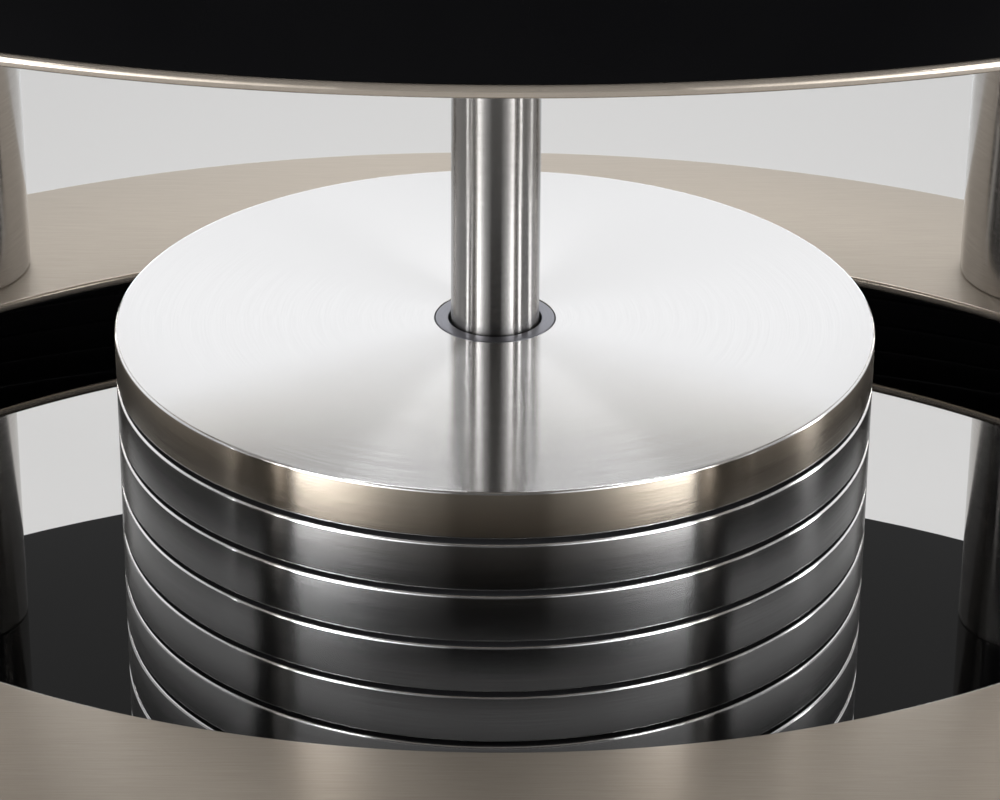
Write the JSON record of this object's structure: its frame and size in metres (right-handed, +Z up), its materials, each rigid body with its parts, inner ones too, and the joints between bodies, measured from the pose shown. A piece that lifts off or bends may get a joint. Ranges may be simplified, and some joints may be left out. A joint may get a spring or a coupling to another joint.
{
  "type": "turntable",
  "caption": "Tall tower record turntable: gimballed chassis with platter and arm on bowed open platforms between round columns, steadied by a hanging stack of heavy steel discs.",
  "frame": {"origin": "centre of the bounding box's bottom, on the floor under the tower's axis", "axes": "+Z up along the tower's axis, -Y to the front where the control panel is, +X to the right"},
  "size_m": [0.6552, 0.613, 1.2875],
  "materials": {
    "champagne_metal": "fine satin brushed, champagne anodised",
    "turned_steel": "turned and finely brushed in circles",
    "satin_steel": "satin, brushed lengthwise",
    "polished_steel": "polished",
    "plain_steel": "plain turned",
    "blued_steel": "satin blue-grey",
    "satin_aluminium": "satin",
    "bronze": "plain turned bronze",
    "black_gloss": "polished black acrylic",
    "black_matte": "fine matt black",
    "circuit_board": "coated board",
    "foot_rubber": "matt",
    "belt_rubber": "matt"
  },
  "bodies": {
    "tower": {"foot_pads": "foot_rubber", "levelling_feet": "polished_steel", "foot_lock_nuts": "polished_steel", "base_bottom_plate": "champagne_metal", "base_core": "black_gloss", "power_inlet": "black_matte", "lower_columns": "satin_steel", "middle_columns": "satin_steel", "upper_columns": "satin_steel", "tie_rods": "plain_steel", "column_caps": "polished_steel", "gimbal_blocks": "satin_steel", "control_panel": "black_gloss", "control_board": "circuit_board", "ring_bottom_plate": "champagne_metal", "ring_core": "black_gloss", "ring_top_plate": "champagne_metal", "shelf_bottom_plate": "champagne_metal", "shelf_core": "black_gloss", "shelf_top_plate": "champagne_metal", "deck_bottom_plate": "champagne_metal", "deck_core": "black_gloss", "deck_top_plate": "champagne_metal"},
    "start_button": {"button_start": "polished_steel"},
    "speed_button": {"button_speed": "polished_steel"},
    "gimbal": {"gimbal_ring": "champagne_metal", "gimbal_pins": "polished_steel"},
    "pendulum": {"chassis_core": "black_gloss", "chassis_plate": "champagne_metal", "cross_beam": "champagne_metal", "pendulum_rod": "polished_steel", "rod_collar": "blued_steel", "disc_spacers": "plain_steel", "pendulum_end_nut": "turned_steel", "weight_disc_1": "turned_steel", "weight_disc_2": "turned_steel", "weight_disc_3": "turned_steel", "weight_disc_4": "turned_steel", "weight_disc_5": "turned_steel", "weight_disc_6": "turned_steel", "weight_disc_7": "turned_steel", "weight_disc_8": "turned_steel", "weight_disc_9": "turned_steel", "bearing_housing": "satin_steel", "bearing_bush": "bronze", "motor_housing": "black_matte", "drive_belt": "belt_rubber", "arm_pillar": "satin_steel", "arm_rest": "satin_steel", "arm_rest_stop": "black_matte"},
    "platter_assembly": {"bearing_shaft": "polished_steel", "sub_platter": "turned_steel", "platter": "black_gloss"},
    "clamp": {"record_clamp": "turned_steel"},
    "pulley": {"motor_pulley": "satin_aluminium"},
    "arm_fork": {"arm_yoke": "satin_steel"},
    "arm": {"arm_tube": "satin_aluminium", "arm_headshell": "satin_aluminium", "arm_cartridge": "black_matte"},
    "arm_weight": {"arm_counterweight": "turned_steel"}
  },
  "joints": [
    {"name": "gimbal_pitch", "type": "hinge", "parent": "tower", "child": "gimbal", "pos_m": [0, 0, 1.0905], "axis": [1, 0, 0], "range_deg": [-2, 2]},
    {"name": "gimbal_roll", "type": "hinge", "parent": "gimbal", "child": "pendulum", "pos_m": [0, 0, 1.0905], "axis": [0, 1, 0], "range_deg": [-2, 2]},
    {"name": "platter_spin", "type": "hinge", "parent": "pendulum", "child": "platter_assembly", "pos_m": [0, 0, 1.1925], "axis": [0, 0, 1], "continuous": true},
    {"name": "pulley_spin", "type": "hinge", "parent": "pendulum", "child": "pulley", "pos_m": [-0.16166, -0.10904, 1.1775], "axis": [0, 0, 1], "continuous": true},
    {"name": "clamp_lift", "type": "slide", "parent": "platter_assembly", "child": "clamp", "axis": [0, 0, 1], "range_m": [0, 0.03]},
    {"name": "arm_swing", "type": "hinge", "parent": "pendulum", "child": "arm_fork", "pos_m": [0.18405, 0.12414, 1.2705], "axis": [0, 0, -1], "range_deg": [0, 42]},
    {"name": "arm_lift", "type": "hinge", "parent": "arm_fork", "child": "arm", "pos_m": [0.18405, 0.12414, 1.2705], "axis": [-1, 0, 0], "range_deg": [0, 12]},
    {"name": "weight_slide", "type": "slide", "parent": "arm", "child": "arm_weight", "axis": [0, 1, 0], "range_m": [-0.012, 0.006]},
    {"name": "start_press", "type": "slide", "parent": "tower", "child": "start_button", "axis": [0, 0, -1], "range_m": [0, 0.0015], "stiffness_N_per_m": 300, "springref_m": -0.002},
    {"name": "speed_press", "type": "slide", "parent": "tower", "child": "speed_button", "axis": [0, 0, -1], "range_m": [0, 0.0015], "stiffness_N_per_m": 300, "springref_m": -0.002}
  ],
  "couplings": [
    {"joint": "pulley_spin", "follows": "platter_spin", "ratio": 9.8591}
  ]
}
